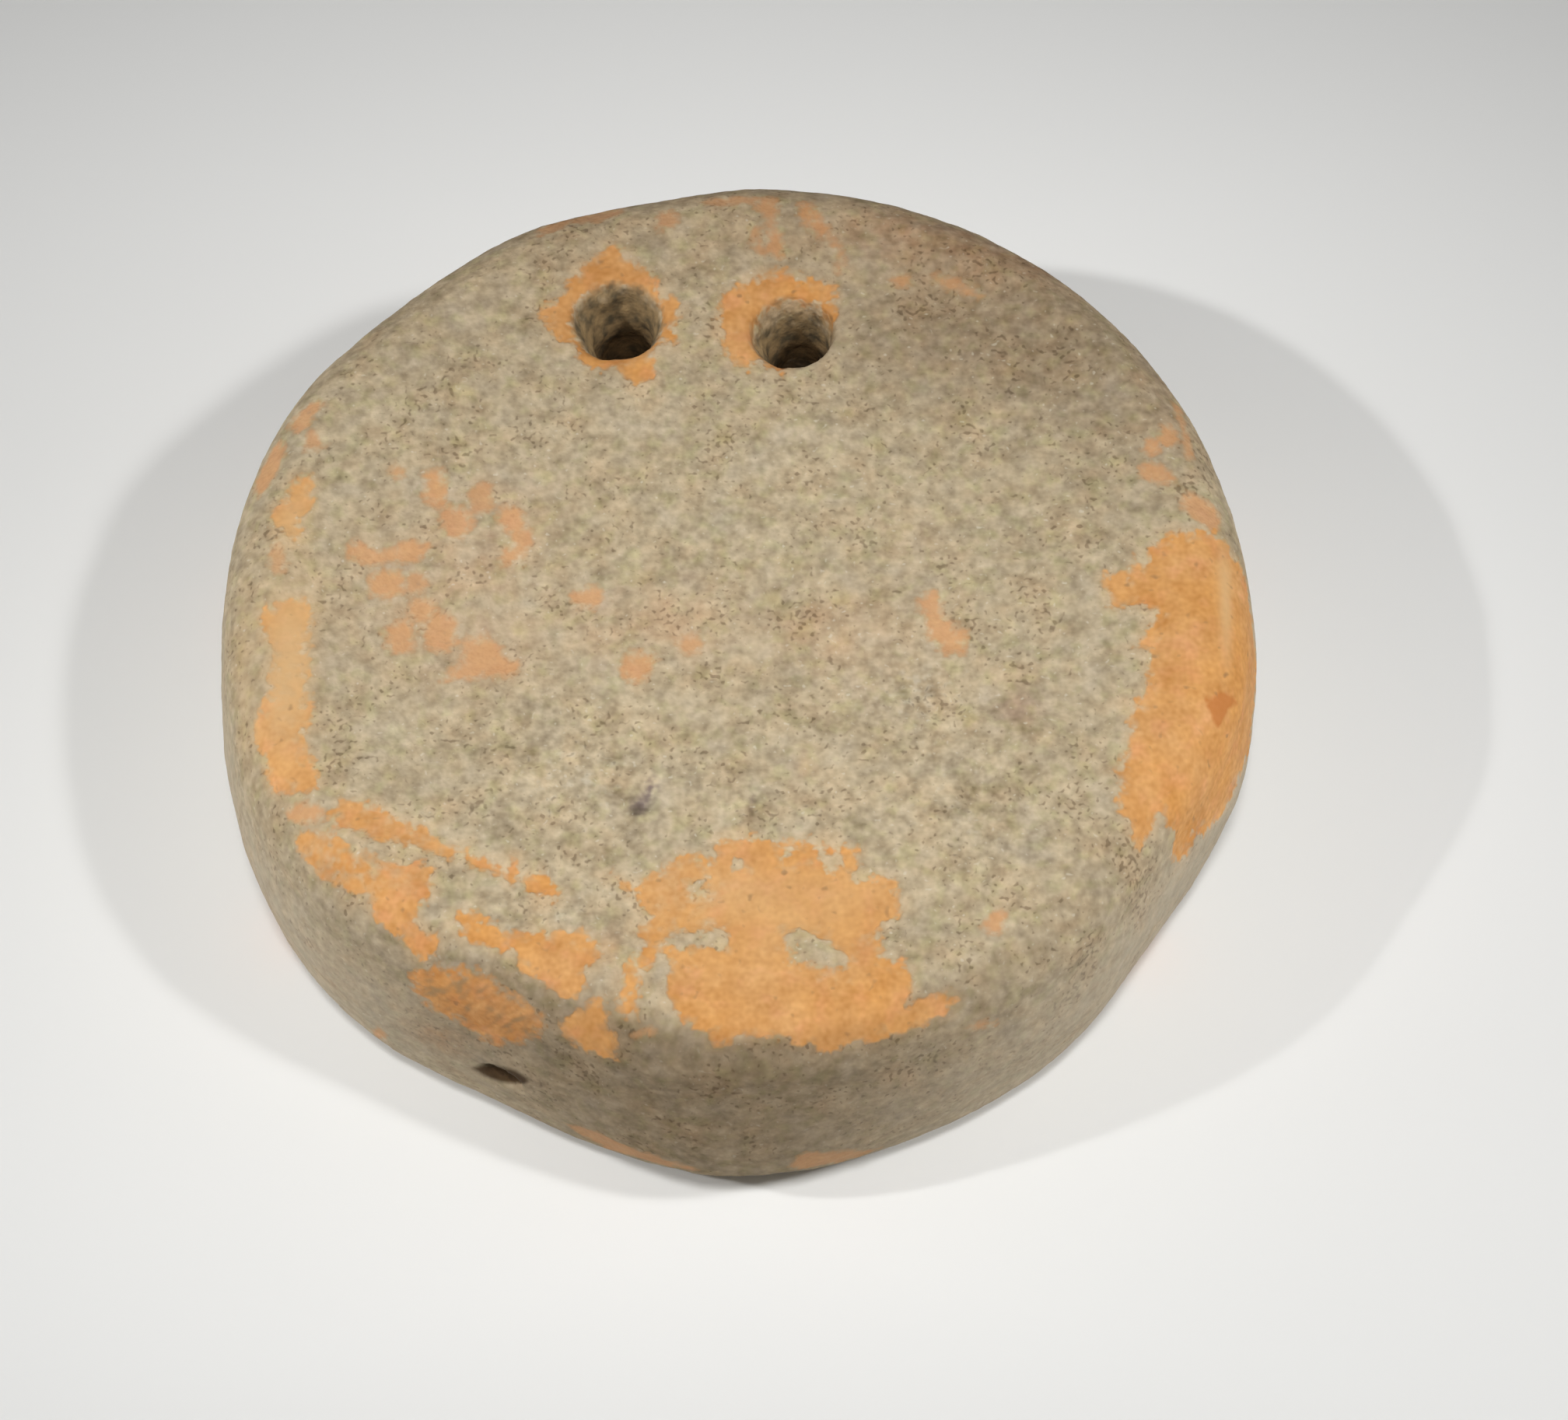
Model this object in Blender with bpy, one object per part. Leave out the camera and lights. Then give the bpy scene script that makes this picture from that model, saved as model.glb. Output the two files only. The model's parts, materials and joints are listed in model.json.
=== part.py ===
"""Clay loom weight: a thick hand-moulded disc with two holes pierced near one edge.

The disc lies on its flat underside. +Z is up through its thickness, and +Y points to the
side with the holes, which was the top when the weight hung on its threads. The origin is the
middle of the disc's outer box, at the underside.
"""
import math

import bmesh
import bpy
from mathutils import Matrix, Vector

METRES_PER_MM = 0.001

# Disc, in millimetres
DIAMETER = 100.0
THICKNESS = 30.0
UPPER_EDGE_RADIUS = 6.5
LOWER_EDGE_RADIUS = 8.0
FACE_CROWN = 0.7
SIDE_SWELL = 0.9

# Unevenness that the potter's hands left in the rim: direction in degrees from +X towards +Y,
# half-width in degrees, and depth as a share of the diameter, negative where the rim swells
RIM_DENTS = (
    (57.0, 27.0, -0.014),
    (99.0, 7.0, 0.007),
    (132.0, 8.0, 0.008),
    (183.0, 14.0, 0.012),
    (243.0, 12.0, 0.025),
    (303.0, 16.0, 0.011),
    (329.0, 9.0, 0.019),
)

# Shallow hollows in the upper face: place across and along the disc, reach and depth,
# each as a share of the diameter
FACE_HOLLOWS = (
    (0.22, 0.26, 0.13, 0.006),
    (-0.26, -0.04, 0.12, 0.004),
    (0.06, -0.10, 0.15, 0.004),
)

# The two suspension holes, in millimetres, with the direction in degrees from the disc's
# middle towards the rim beside them. Each narrows from an open mouth at either face to a
# straight bore, and its mouths lie a little to the left of the bore.
HOLES_DIRECTION = 90.0
HOLE_SPACING = 17.1
HOLE_PAIR_SHIFT = -1.9
HOLE_RIM_SPACING = 19.1
RIGHT_HOLE_DROP = 1.3
BORE_DIAMETER = 6.3
LEFT_MOUTH_DIAMETER = 9.6
RIGHT_MOUTH_DIAMETER = 8.6
MOUTH_DEPTH = 6.5
MOUTH_OFFSET = 0.9
MOUTH_CURVE = 1.6

# Small oblong pit in the side, in millimetres, and its place
PIT_WIDTH = 4.6
PIT_HEIGHT = 2.8
PIT_DEPTH = 3.2
PIT_DIRECTION = 243.5
PIT_LEVEL = 14.0

# Facets
RIM_SEGMENTS = 96
EDGE_STEPS = 7
SIDE_STEPS = 5
FACE_STEPS = 5
HOLE_SEGMENTS = 28
MOUTH_STEPS = 7
PIT_SEGMENTS = 16
CUT_OVERRUN = 3.0
SHARP_ANGLE = 35.0

CLAY_COLOUR = (0.32, 0.26, 0.18, 1.0)
CLAY_ROUGHNESS = 0.9


def clear_scene():
    """Remove everything the start-up file holds."""
    for thing in list(bpy.data.objects):
        bpy.data.objects.remove(thing, do_unlink=True)


def clay_material():
    """Matt fired clay."""
    material = bpy.data.materials.new("fired_clay")
    material.use_nodes = True
    shader = material.node_tree.nodes["Principled BSDF"]
    shader.inputs["Base Color"].default_value = CLAY_COLOUR
    shader.inputs["Roughness"].default_value = CLAY_ROUGHNESS
    shader.inputs["Metallic"].default_value = 0.0
    return material


def bump(distance, width):
    """A smooth bump, 1 in its middle and close to 0 beyond twice its width."""
    return math.exp(-0.5 * (distance / width) ** 2)


def angle_between(first, second):
    """Difference between two directions in degrees, from -180 to 180."""
    return (first - second + 180.0) % 360.0 - 180.0


def rim_directions():
    """Directions of the outline's corners, in degrees."""
    return [360.0 * step / RIM_SEGMENTS for step in range(RIM_SEGMENTS)]


def rim_share(direction):
    """Radius of the outline in a direction, as a share of an even disc's diameter."""
    return 0.5 - sum(depth * bump(angle_between(direction, middle), width)
                     for middle, width, depth in RIM_DENTS)


def polar(radius, direction):
    """Point at a radius in a direction."""
    turn = math.radians(direction)
    return Vector((radius * math.cos(turn), radius * math.sin(turn)))


def outline_box():
    """Lowest and highest corner of the outline's box, as shares of the diameter."""
    corners = [polar(rim_share(direction), direction) for direction in rim_directions()]
    return Vector(map(min, zip(*corners))), Vector(map(max, zip(*corners)))


LOW_CORNER, HIGH_CORNER = outline_box()
OUTLINE_SCALE = DIAMETER / (HIGH_CORNER - LOW_CORNER).x
CENTRE = (LOW_CORNER + HIGH_CORNER) / 2 * OUTLINE_SCALE


def rim_radius(direction):
    """Radius of the disc's widest outline in a direction, in millimetres."""
    return rim_share(direction) * OUTLINE_SCALE


def face_height(x, y, inset_share):
    """Height of the upper face, slightly crowned, with its shallow hollows."""
    crown = FACE_CROWN * inset_share ** 2
    hollow = sum(depth * bump(math.hypot(x - DIAMETER * across, y - DIAMETER * along),
                              DIAMETER * reach)
                 for across, along, reach, depth in FACE_HOLLOWS)
    return THICKNESS - crown - DIAMETER * hollow


def side_profile():
    """Inset from the widest outline and height of each ring, from the underside's edge up."""
    profile = []
    for step in range(EDGE_STEPS + 1):
        turn = math.radians(90.0 * step / EDGE_STEPS)
        inset = LOWER_EDGE_RADIUS * (1.0 - math.sin(turn)) + SIDE_SWELL
        profile.append((inset, LOWER_EDGE_RADIUS * (1.0 - math.cos(turn))))
    low = LOWER_EDGE_RADIUS
    high = THICKNESS - FACE_CROWN - UPPER_EDGE_RADIUS
    for step in range(1, SIDE_STEPS):
        share = step / SIDE_STEPS
        profile.append((SIDE_SWELL * (1.0 - math.sin(math.pi * share)), low + (high - low) * share))
    for step in range(EDGE_STEPS):
        turn = math.radians(90.0 * step / EDGE_STEPS)
        inset = UPPER_EDGE_RADIUS * (1.0 - math.cos(turn)) + SIDE_SWELL
        profile.append((inset, high + UPPER_EDGE_RADIUS * math.sin(turn)))
    return profile


def side_ring(inset, height):
    """Corners of the ring at an inset from the widest outline and a height."""
    return [(*(polar(rim_radius(direction) - inset, direction) - CENTRE), height)
            for direction in rim_directions()]


def face_ring(share):
    """Corners of the ring that reaches a share of the way from the face's middle to its edge."""
    shoulder = UPPER_EDGE_RADIUS + SIDE_SWELL
    places = [polar((rim_radius(direction) - shoulder) * share, direction) - CENTRE
              for direction in rim_directions()]
    return [(x, y, face_height(x, y, share)) for x, y in places]


def add_ring(mesh, places):
    """Join places into one closed ring of vertices and edges, and return its edges."""
    corners = [mesh.verts.new(Vector(place) * METRES_PER_MM) for place in places]
    return [mesh.edges.new(pair) for pair in zip(corners, corners[1:] + corners[:1])]


def disc_mesh():
    """The disc without its holes, bridged ring by ring from the underside to the upper face."""
    mesh = bmesh.new()
    rings = [add_ring(mesh, side_ring(inset, height)) for inset, height in side_profile()]
    rings += [add_ring(mesh, face_ring(1.0 - step / FACE_STEPS)) for step in range(FACE_STEPS)]
    for lower, upper in zip(rings, rings[1:]):
        bmesh.ops.bridge_loops(mesh, edges=lower + upper)
    bmesh.ops.holes_fill(mesh, edges=rings[0] + rings[-1], sides=RIM_SEGMENTS)
    bmesh.ops.recalc_face_normals(mesh, faces=mesh.faces)
    return mesh


def mesh_object(name, mesh, material=None):
    """Put a bmesh into the scene as a smooth-shaded object."""
    data = bpy.data.meshes.new(name)
    mesh.to_mesh(data)
    mesh.free()
    data.shade_smooth()
    if material:
        data.materials.append(material)
    thing = bpy.data.objects.new(name, data)
    bpy.context.collection.objects.link(thing)
    return thing


def hole_places():
    """Name, middle and mouth diameter of each hole's bore, measured from the origin."""
    reach = rim_radius(HOLES_DIRECTION) - HOLE_RIM_SPACING
    row = polar(reach, HOLES_DIRECTION) - CENTRE
    left = row + Vector((HOLE_PAIR_SHIFT - HOLE_SPACING / 2, 0.0))
    right = row + Vector((HOLE_PAIR_SHIFT + HOLE_SPACING / 2, -RIGHT_HOLE_DROP))
    return (("left_hole", left, LEFT_MOUTH_DIAMETER), ("right_hole", right, RIGHT_MOUTH_DIAMETER))


def hole_profile(mouth_diameter):
    """Radius, height and offset of each ring of a hole, from under the disc to above it."""
    bore = BORE_DIAMETER / 2
    flare = (mouth_diameter - BORE_DIAMETER) / 2
    rise = []
    for step in range(MOUTH_STEPS + 1):
        share = step / MOUTH_STEPS
        rise.append((bore + flare * share ** MOUTH_CURVE, MOUTH_DEPTH * share,
                     MOUTH_OFFSET * share))
    slope = (rise[-1][0] - rise[-2][0]) / (rise[-1][1] - rise[-2][1])
    rise.append((rise[-1][0] + slope * CUT_OVERRUN, MOUTH_DEPTH + CUT_OVERRUN, MOUTH_OFFSET))
    lower = [(radius, MOUTH_DEPTH - up, offset) for radius, up, offset in reversed(rise)]
    upper = [(radius, THICKNESS - MOUTH_DEPTH + up, offset) for radius, up, offset in rise]
    return lower + upper


def hole_cutter(name, middle, mouth_diameter):
    """Closed solid of a hole's hollow, wide at both faces and narrow inside."""
    mesh = bmesh.new()
    rings = []
    for radius, height, offset in hole_profile(mouth_diameter):
        place = Matrix.Translation(Vector((middle.x - offset, middle.y, height)) * METRES_PER_MM)
        circle = bmesh.ops.create_circle(mesh, segments=HOLE_SEGMENTS, radius=radius * METRES_PER_MM,
                                         matrix=place)
        rings.append(list({edge for corner in circle["verts"] for edge in corner.link_edges}))
    for lower, upper in zip(rings, rings[1:]):
        bmesh.ops.bridge_loops(mesh, edges=lower + upper)
    bmesh.ops.holes_fill(mesh, edges=rings[0] + rings[-1], sides=HOLE_SEGMENTS)
    bmesh.ops.recalc_face_normals(mesh, faces=mesh.faces)
    return mesh_object(name, mesh)


def pit_cutter():
    """Closed solid of the pit: a ball stretched sideways, half sunk in the side."""
    mesh = bmesh.new()
    bmesh.ops.create_uvsphere(mesh, u_segments=PIT_SEGMENTS, v_segments=PIT_SEGMENTS // 2,
                              radius=1.0)
    cutter = mesh_object("pit", mesh)
    x, y = polar(rim_radius(PIT_DIRECTION), PIT_DIRECTION) - CENTRE
    half_sides = Vector((PIT_DEPTH, PIT_WIDTH / 2, PIT_HEIGHT / 2)) * METRES_PER_MM
    middle = Vector((x, y, PIT_LEVEL)) * METRES_PER_MM
    turn = Matrix.Rotation(math.radians(PIT_DIRECTION), 4, "Z")
    cutter.data.transform(Matrix.LocRotScale(middle, turn.to_3x3(), half_sides))
    return cutter


def cut(body, cutters):
    """Take the cutters' solids out of the body, then remove the cutters."""
    for cutter in cutters:
        modifier = body.modifiers.new(cutter.name, "BOOLEAN")
        modifier.operation = "DIFFERENCE"
        modifier.solver = "EXACT"
        modifier.object = cutter
    bpy.context.view_layer.objects.active = body
    for cutter in cutters:
        bpy.ops.object.modifier_apply(modifier=cutter.name)
        bpy.data.objects.remove(cutter, do_unlink=True)
    body.data.set_sharp_from_angle(angle=math.radians(SHARP_ANGLE))


def build():
    """The whole loom weight."""
    clear_scene()
    body = mesh_object("loom_weight", disc_mesh(), clay_material())
    cutters = [hole_cutter(*hole) for hole in hole_places()]
    cutters.append(pit_cutter())
    cut(body, cutters)


build()
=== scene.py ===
"""Clay loom weight: the looks of a hand-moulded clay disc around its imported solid.

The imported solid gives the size, the outline and the two holes. This script copies it into a
finer mesh, gives it the unevenness of moulded clay, wears its grey crust away where the orange
clay shows, and sets it on a pale studio floor. Lengths are in metres unless a name or a
comment says otherwise.
"""
import json
import math

import bpy
import numpy as np
from bpy.props import FloatProperty, FloatVectorProperty, PointerProperty
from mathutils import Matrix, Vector, noise
from mathutils.bvhtree import BVHTree


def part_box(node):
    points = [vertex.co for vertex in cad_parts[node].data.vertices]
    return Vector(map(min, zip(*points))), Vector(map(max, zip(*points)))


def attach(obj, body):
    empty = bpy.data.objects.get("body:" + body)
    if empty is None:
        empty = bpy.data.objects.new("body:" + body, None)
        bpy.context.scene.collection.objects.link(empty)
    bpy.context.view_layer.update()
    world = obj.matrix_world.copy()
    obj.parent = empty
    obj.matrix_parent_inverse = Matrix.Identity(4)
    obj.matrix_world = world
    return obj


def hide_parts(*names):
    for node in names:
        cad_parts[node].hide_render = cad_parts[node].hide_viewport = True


bl_info = {
    "name": "Clay Loom Weight",
    "version": (1, 0, 0),
    "blender": (4, 5, 0),
    "location": "View3D > Sidebar > Loom Weight",
    "description": "Weathered clay loom weight with two holes, on a studio floor",
    "category": "Object",
}

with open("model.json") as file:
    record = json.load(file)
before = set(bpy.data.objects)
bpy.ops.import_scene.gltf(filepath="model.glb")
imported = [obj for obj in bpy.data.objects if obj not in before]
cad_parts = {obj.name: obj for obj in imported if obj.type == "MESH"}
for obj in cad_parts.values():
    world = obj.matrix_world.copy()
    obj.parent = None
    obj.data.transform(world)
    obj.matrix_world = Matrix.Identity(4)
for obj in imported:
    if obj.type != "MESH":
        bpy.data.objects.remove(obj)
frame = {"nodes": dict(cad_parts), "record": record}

MM = 0.001
LOW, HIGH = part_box("loom_weight")
WIDTH = HIGH.x - LOW.x
THICKNESS = HIGH.z - LOW.z
HALF_HEIGHT = (LOW.z + HIGH.z) / 2
HOLES = [(Vector(opening["box_m"][0]) + Vector(opening["box_m"][1])) / 2
         for opening in frame["record"]["physics"]["openings"]]

# Size of the photograph in pixels, and its camera
PHOTO_WIDTH = 2016
PHOTO_HEIGHT = 1826
CAMERA_ELEVATION = math.radians(60.0)
CAMERA_DISTANCE = 0.6
CAMERA_AIM = Vector((4.36, -4.35, 15.0)) * MM
VIEW_WIDTH = 151.2 * MM
SENSOR_WIDTH = 36.0
PIXEL = VIEW_WIDTH / PHOTO_WIDTH
CAMERA_RIGHT = Vector((1.0, 0.0, 0.0))
CAMERA_UP = Vector((0.0, math.sin(CAMERA_ELEVATION), math.cos(CAMERA_ELEVATION)))
CAMERA_BACK = Vector((0.0, -math.cos(CAMERA_ELEVATION), math.sin(CAMERA_ELEVATION)))
CAMERA_PLACE = CAMERA_AIM + CAMERA_BACK * CAMERA_DISTANCE

# The mouths of the holes: how far they lie to the left of the bores and how deep they reach,
# as in the solid, the radius within which the left and the right one are dark with dirt, and
# how far their mouths reach into the face
MOUTH_OFFSET = 0.9 * MM
MOUTH_DEPTH = 6.5 * MM
DIRTY_RADII = (4.3 * MM, 3.7 * MM)
MOUTH_REACH = 8.5 * MM

# Where the clay shows through the crust. Each outline is a ring of pixels of the photograph.
FRONT_PATCH = (
    (786, 1124), (829, 1133), (860, 1114), (877, 1099), (908, 1107), (925, 1104), (925, 1076),
    (963, 1078), (980, 1085), (1022, 1081), (1053, 1083), (1099, 1093), (1099, 1130),
    (1142, 1133), (1161, 1157), (1153, 1178), (1130, 1188), (1125, 1205), (1139, 1233),
    (1170, 1254), (1172, 1274), (1163, 1298), (1218, 1274), (1228, 1288), (1221, 1302),
    (1173, 1322), (1118, 1336), (1070, 1352), (1036, 1340), (1001, 1336), (967, 1333),
    (918, 1345), (905, 1329), (877, 1312), (860, 1288), (863, 1247), (853, 1226), (825, 1254),
    (819, 1281), (815, 1309), (798, 1302), (798, 1247), (829, 1219), (819, 1192), (836, 1178),
    (808, 1150),
)
RIGHT_PATCH = (
    (1498, 691), (1546, 681), (1576, 700), (1590, 722), (1603, 752), (1612, 800), (1618, 863),
    (1617, 911), (1612, 946), (1604, 975), (1593, 1000), (1582, 1027), (1568, 1051),
    (1549, 1071), (1533, 1067), (1528, 1099), (1517, 1106), (1508, 1096), (1508, 1064),
    (1490, 1042), (1485, 1064), (1466, 1090), (1455, 1080), (1453, 1055), (1441, 1036),
    (1441, 991), (1449, 959), (1453, 927), (1458, 902), (1476, 892), (1479, 831), (1452, 833),
    (1476, 815), (1485, 787), (1466, 777), (1428, 780), (1421, 768), (1421, 742), (1450, 739),
    (1473, 713),
)
LEFT_STRIP = (
    (360, 770), (395, 767), (398, 800), (392, 830), (396, 860), (391, 890), (398, 920), (390, 950),
    (399, 975), (404, 1002), (398, 1016), (380, 1020), (360, 1018), (345, 1010), (339, 985),
    (337, 965), (329, 952), (326, 938), (334, 918), (340, 903), (352, 894), (344, 872), (353, 850),
    (350, 830), (342, 812), (330, 796), (336, 783), (350, 784),
)
LEFT_STRIP_END = (
    (375, 622), (396, 618), (401, 640), (403, 656), (392, 663), (386, 674), (385, 690), (378, 699),
    (369, 697), (367, 680), (357, 676), (350, 667), (354, 655), (366, 645), (370, 632),
)
UPPER_BAND = (
    (427, 1054), (437, 1032), (481, 1033), (507, 1048), (551, 1064), (558, 1083), (596, 1089),
    (615, 1102), (660, 1108), (666, 1124), (657, 1134), (634, 1121), (596, 1105), (551, 1096),
    (513, 1086), (488, 1077), (456, 1067), (433, 1064),
)
UPPER_BAND_END = ((673, 1128), (692, 1124), (720, 1147), (704, 1163), (688, 1153))
LOWER_BAND = (
    (379, 1083), (395, 1067), (417, 1070), (456, 1092), (488, 1108), (539, 1115), (555, 1121),
    (555, 1147), (539, 1159), (532, 1182), (564, 1201), (570, 1220), (551, 1230), (542, 1242),
    (526, 1223), (510, 1198), (481, 1185), (472, 1156), (443, 1140), (417, 1128), (389, 1102),
)
LOWER_BAND_END = (
    (580, 1185), (602, 1163), (625, 1188), (660, 1204), (698, 1195), (762, 1204), (775, 1226),
    (752, 1249), (746, 1274), (736, 1287), (714, 1274), (695, 1265), (676, 1249), (666, 1226),
    (634, 1220), (602, 1210),
)
CORNER_PATCH = (
    (714, 1322), (743, 1300), (771, 1287), (781, 1306), (781, 1322), (791, 1344), (787, 1360),
    (752, 1354), (736, 1338),
)
STREAKED_PATCH = (
    (545, 1249), (564, 1246), (625, 1252), (641, 1274), (676, 1290), (692, 1306), (695, 1325),
    (666, 1335), (641, 1338), (622, 1335), (596, 1313), (570, 1306), (548, 1287), (535, 1274),
)
LEFT_HOLE_RING = (
    (772, 326), (782, 313), (799, 324), (820, 340), (838, 358), (852, 379), (868, 394),
    (872, 408), (866, 422), (872, 440), (866, 445), (849, 440), (834, 452), (841, 461),
    (838, 483), (820, 494), (806, 485), (795, 469), (759, 469), (738, 444), (724, 444),
    (711, 429), (700, 404), (700, 394), (724, 383), (734, 358), (749, 344),
)
RIGHT_HOLE_RING = (
    (924, 394), (938, 379), (949, 365), (963, 354), (999, 351), (1041, 358), (1063, 369),
    (1072, 383), (1070, 419), (1045, 461), (1006, 479), (977, 465), (959, 476), (941, 469),
    (934, 447), (925, 415),
)
DEEP_CHIP = (
    (1548, 892), (1558, 898), (1570, 888), (1582, 893), (1593, 905), (1579, 913), (1570, 936),
    (1561, 929), (1553, 908),
)
FACE_SPOT = (
    (447, 708), (458, 697), (474, 701), (490, 712), (512, 706), (530, 697), (551, 698),
    (545, 714), (525, 720), (498, 720), (478, 727), (460, 724),
)
FACE_WEDGE = (
    (601, 826), (617, 814), (632, 822), (645, 842), (664, 853), (657, 866), (620, 868), (598, 872),
    (571, 877), (578, 866), (594, 858),
)
RIM_WEAR = (
    (352, 575), (363, 571), (363, 590), (357, 601), (349, 613), (341, 628), (333, 638), (325, 628),
    (335, 605), (343, 590),
)
RIM_WEAR_END = (
    (374, 546), (380, 533), (392, 525), (412, 512), (414, 520), (403, 534), (396, 545), (384, 556),
)
# Painted shadow inside the pit low on the front left, as the camera sees it
PIT_SHADOW_OUTLINE = (
    (606, 1373), (620, 1370), (636, 1370), (650, 1373), (663, 1376), (674, 1382), (682, 1389),
    (675, 1393), (658, 1393), (644, 1391), (632, 1387), (620, 1381),
)
FRONT_EDGE_BAND = ((1015, 1501), (1035, 1484), (1084, 1481), (1132, 1477), (1080, 1500))
LEFT_EDGE_BAND = ((723, 1444), (760, 1453), (812, 1477), (898, 1505), (850, 1508), (780, 1480))
CLAY_PATCHES = (
    FRONT_PATCH, RIGHT_PATCH, LEFT_STRIP, LEFT_STRIP_END, UPPER_BAND, UPPER_BAND_END,
    LOWER_BAND, LOWER_BAND_END, CORNER_PATCH, LEFT_HOLE_RING, RIGHT_HOLE_RING,
)

# Crust left standing inside the front patch, and its crumbs: middle, half-width and half-height
CRUST_ISLAND = (
    (1001, 1195), (1018, 1193), (1060, 1205), (1084, 1226), (1087, 1247), (1022, 1243),
    (1011, 1216),
)
CRUST_CRUMBS = (
    (896, 1209, 46, 15), (898, 1140, 10, 8), (946, 1109, 7, 11), (1015, 1102, 6, 5),
    (1053, 1102, 8, 7), (1072, 1111, 8, 7),
)

# Small spots of clay on the face and the rim: middle, half-width, half-height, and turn in
# degrees anticlockwise
CLAY_SPOTS = (
    (586, 675, 17, 20, 0), (659, 668, 14, 17, 30), (668, 696, 12, 22, 0), (660, 714, 15, 12, 0),
    (558, 629, 14, 22, 0), (498, 752, 21, 19, 0), (542, 785, 14, 16, 0), (514, 821, 17, 20, 0),
    (568, 812, 22, 23, 0), (759, 768, 20, 13, 0), (820, 858, 23, 16, 35), (1200, 783, 13, 20, 0),
    (1208, 808, 16, 30, 30), (1226, 824, 17, 13, 0), (392, 1045, 20, 12, 0),
    (1280, 1185, 12, 15, 0), (1546, 656, 14, 27, 50), (1502, 560, 11, 14, 0),
    (1482, 575, 9, 9, 0), (1487, 610, 19, 10, -20), (987, 264, 12, 9, 0),
    (1047, 282, 9, 24, 35), (998, 312, 6, 20, 10),
)
FAINT_SPOTS = (
    (619, 642, 14, 16, 0), (512, 606, 10, 10, 0), (536, 750, 12, 15, 0), (889, 830, 16, 13, 0),
    (832, 1329, 13, 4, 10), (1261, 1318, 19, 4, 10), (488, 1328, 7, 6, 0), (357, 716, 10, 20, 0),
    (404, 568, 13, 14, 0), (1228, 367, 36, 7, -20), (1156, 361, 12, 8, 0), (770, 276, 34, 7, 12),
    (712, 292, 24, 7, 25), (858, 283, 14, 12, 0), (940, 260, 40, 5, 4),
)

# Lines rubbed through the crust: their ends and half-width
RUBBED_LINES = (
    ((988, 270), (996, 300), 4.0), ((1063, 300), (1085, 338), 5.0), ((966, 294), (980, 326), 3.5),
    ((1085, 338), (1077, 349), 4.0), ((1512, 524), (1530, 590), 3.0),
    ((1029, 1253), (1091, 1250), 2.0),
)

# Broad tints, as soft ovals: middle, half-width, half-height and strength
TINTS = {
    "cloud": ((1310, 450, 190, 85, 0.9), (1200, 420, 150, 60, 0.45), (1420, 560, 90, 110, 0.4)),
    "rust": ((1300, 330, 190, 60, 0.8), (1150, 290, 90, 40, 0.5), (1500, 520, 40, 90, 0.4)),
    "lime": (
        (1184, 887, 75, 60, 0.7), (736, 998, 100, 70, 0.6), (575, 1250, 60, 40, 0.6),
        (980, 1040, 120, 50, 0.4), (700, 1180, 120, 60, 0.45), (1240, 1040, 100, 80, 0.5),
    ),
    "yellow": (
        (372, 850, 40, 110, 1.0), (378, 670, 30, 50, 0.7), (312, 880, 30, 130, 0.8),
        (1578, 770, 16, 80, 0.9),
        (1015, 1165, 130, 60, 0.4),
    ),
    "veil": (
        (450, 1110, 90, 36, 0.8), (365, 880, 34, 70, 0.35), (890, 1150, 60, 40, 0.3),
    ),
    "earth": (
        (560, 1335, 75, 32, 1.0), (430, 1260, 60, 30, 0.5), (330, 1130, 40, 60, 0.4),
        (780, 1475, 70, 10, 0.5), (785, 1215, 18, 35, 0.6),
    ),
    "plum": ((1310, 912, 27, 25, 1.0),),
    "ink": (
        (821, 1037, 13, 14, 0.75), (838, 1010, 11, 17, 1.0), (900, 1030, 8, 16, 0.3),
        (968, 1032, 9, 17, 0.4),
    ),
    "haze": (
        (560, 760, 130, 90, 0.6), (640, 660, 90, 60, 0.5), (890, 800, 45, 50, 0.8),
        (1060, 800, 100, 40, 0.5), (1180, 700, 50, 40, 0.3), (790, 800, 70, 50, 0.5),
        (1110, 850, 110, 60, 0.3), (620, 850, 70, 40, 0.6),
        (1032, 995, 14, 24, 0.9),
    ),
}

# Wear round the hidden sides and underneath: direction in degrees from +X towards +Y, radius
# as a share of half the width, height as a share of the thickness, and reach
HIDDEN_WEAR = (
    (24, 1.00, 0.10, 5.0 * MM), (52, 0.98, 0.06, 3.5 * MM), (78, 1.01, 0.55, 3.0 * MM),
    (112, 0.97, 0.06, 6.0 * MM), (140, 1.00, 0.30, 2.6 * MM), (163, 0.98, 0.08, 4.0 * MM),
    (205, 0.99, 0.07, 3.0 * MM), (330, 0.96, 0.05, 4.5 * MM), (300, 0.55, 0.0, 7.0 * MM),
    (150, 0.62, 0.0, 5.0 * MM), (60, 0.30, 0.0, 3.0 * MM), (200, 0.35, 0.0, 2.2 * MM),
)

# Plain tones of the clay, the bloom and the dirt, and the pale tone of dust with painted floor
# bounce
PIT_CLAY = (0.30, 0.165, 0.075)
SPOT_CLAY = (0.64, 0.355, 0.195)
STREAK_SOIL = (0.37, 0.225, 0.10)
BLOOM = (0.74, 0.68, 0.54)
# Pale dust, together with painted light bounced from the floor
PALE_DUST_AND_BOUNCE = (0.50, 0.43, 0.335)
DARK_DIRT = (0.13, 0.105, 0.062)

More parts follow.
